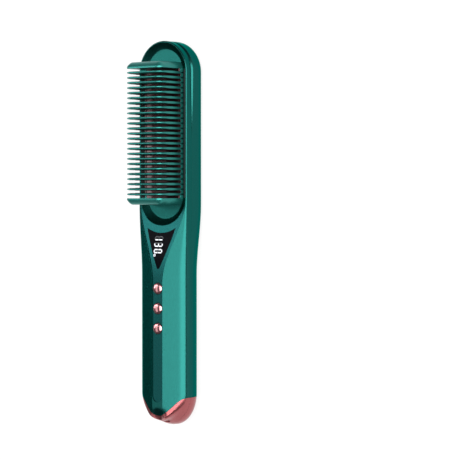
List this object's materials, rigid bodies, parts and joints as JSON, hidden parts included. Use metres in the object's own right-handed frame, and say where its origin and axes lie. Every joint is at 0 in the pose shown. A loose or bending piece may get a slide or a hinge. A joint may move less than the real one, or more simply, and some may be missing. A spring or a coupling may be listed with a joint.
{
  "type": "hair straightener",
  "caption": "Hair straightening comb with a heated toothed head, a digital display, domed buttons and a rounded end cap",
  "frame": {"origin": "middle of the part's box at the plane of its flat back", "axes": "+X toward the top of the head, +Z out of the face where the teeth point, Y across; the part lies on its back and is symmetric in Y apart from the digits"},
  "size_m": [0.2797, 0.0456, 0.044],
  "materials": {
    "shell": "pearl green lacquer with a satin shine",
    "panel": "darker green lacquer, glossy",
    "rose_gold": "rose gold metallic coating, glossy",
    "button_metal": "bright rose gold metallic coating",
    "window": "polished black lens",
    "digits": "lit white segments",
    "teeth": "heat resistant green plastic, satin",
    "coated_metal": "dark maroon ceramic coating on die-cast aluminium",
    "silicone": "matt silicone rubber",
    "ceramic_white": "fired white ceramic",
    "mica": "pressed mica sheet",
    "steel": "stamped steel sheet",
    "dark_steel": "blackened steel",
    "black_plastic": "moulded black plastic",
    "light_plastic": "moulded off-white plastic",
    "circuit_board": "green solder mask",
    "cell_sleeve": "shrink sleeve, plain blue",
    "red_wire": "silicone wire sleeve, red",
    "blue_wire": "silicone wire sleeve, blue"
  },
  "bodies": {
    "housing": {"front_housing": "shell", "back_housing": "shell", "end_cap": "rose_gold", "front_panel": "panel", "display_window": "window", "display_digits": "digits", "display_module": "black_plastic", "comb_guard": "teeth", "heater_comb": "coated_metal", "heater_gasket": "silicone", "heating_element": "ceramic_white", "insulation_sheet": "mica", "heater_clamp": "steel", "heater_screws": "dark_steel", "thermistor": "black_plastic", "thermal_fuse": "ceramic_white", "heater_leads": "red_wire", "switch_bodies": "black_plastic", "main_board": "circuit_board", "front_cell": "cell_sleeve", "rear_cell": "cell_sleeve", "cell_cradle": "light_plastic", "battery_leads": "blue_wire", "charge_board": "circuit_board", "usb_socket": "steel", "housing_screws": "dark_steel"},
    "power_key": {"power_button": "button_metal", "power_plunger": "light_plastic"},
    "heat_up_key": {"heat_up_button": "button_metal", "heat_up_plunger": "light_plastic"},
    "heat_down_key": {"heat_down_button": "button_metal", "heat_down_plunger": "light_plastic"}
  },
  "joints": [
    {"name": "power_press", "type": "slide", "parent": "housing", "child": "power_key", "axis": [0, 0, -1], "range_m": [0, 0.0004], "stiffness_N_per_m": 2500},
    {"name": "heat_up_press", "type": "slide", "parent": "housing", "child": "heat_up_key", "axis": [0, 0, -1], "range_m": [0, 0.0004], "stiffness_N_per_m": 2500},
    {"name": "heat_down_press", "type": "slide", "parent": "housing", "child": "heat_down_key", "axis": [0, 0, -1], "range_m": [0, 0.0004], "stiffness_N_per_m": 2500}
  ]
}
